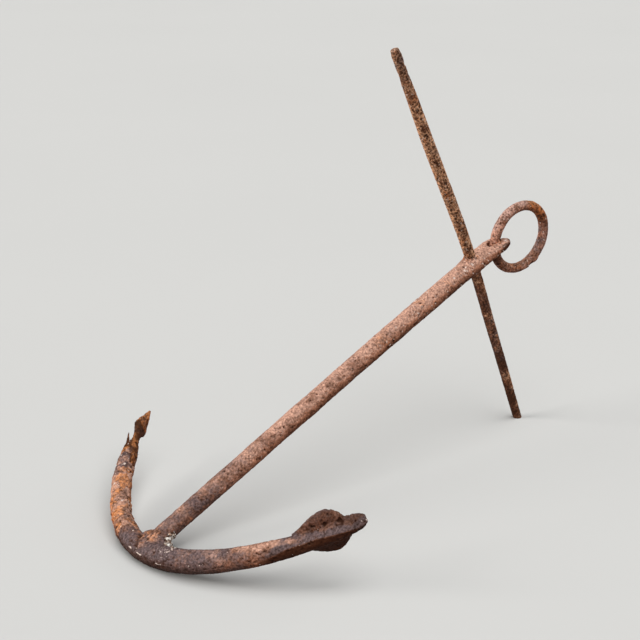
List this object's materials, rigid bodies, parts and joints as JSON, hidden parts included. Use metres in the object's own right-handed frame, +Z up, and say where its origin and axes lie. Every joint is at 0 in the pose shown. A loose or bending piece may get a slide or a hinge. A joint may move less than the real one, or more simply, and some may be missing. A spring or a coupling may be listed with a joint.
{
  "type": "stocked anchor",
  "caption": "Small forged-iron stocked anchor, rusted through at one fluke, with a round rod stock and a seized ring, resting on its crown and the stock's foot.",
  "frame": {"origin": "on the floor, under the centre of the bounding box", "axes": "+X along the floor from the crown towards the ring, +Y across towards the broken fluke, +Z up"},
  "size_m": [0.4254, 0.2706, 0.3379],
  "materials": {
    "rusted_forging": "rough layered rust, pitted and flaking",
    "rusted_rod": "rough rust with dense dark pits",
    "rusted_ring": "rough pinkish rust"
  },
  "bodies": {
    "root": {"anchor_body": "rusted_forging", "stock": "rusted_rod", "ring": "rusted_ring"}
  },
  "joints": []
}
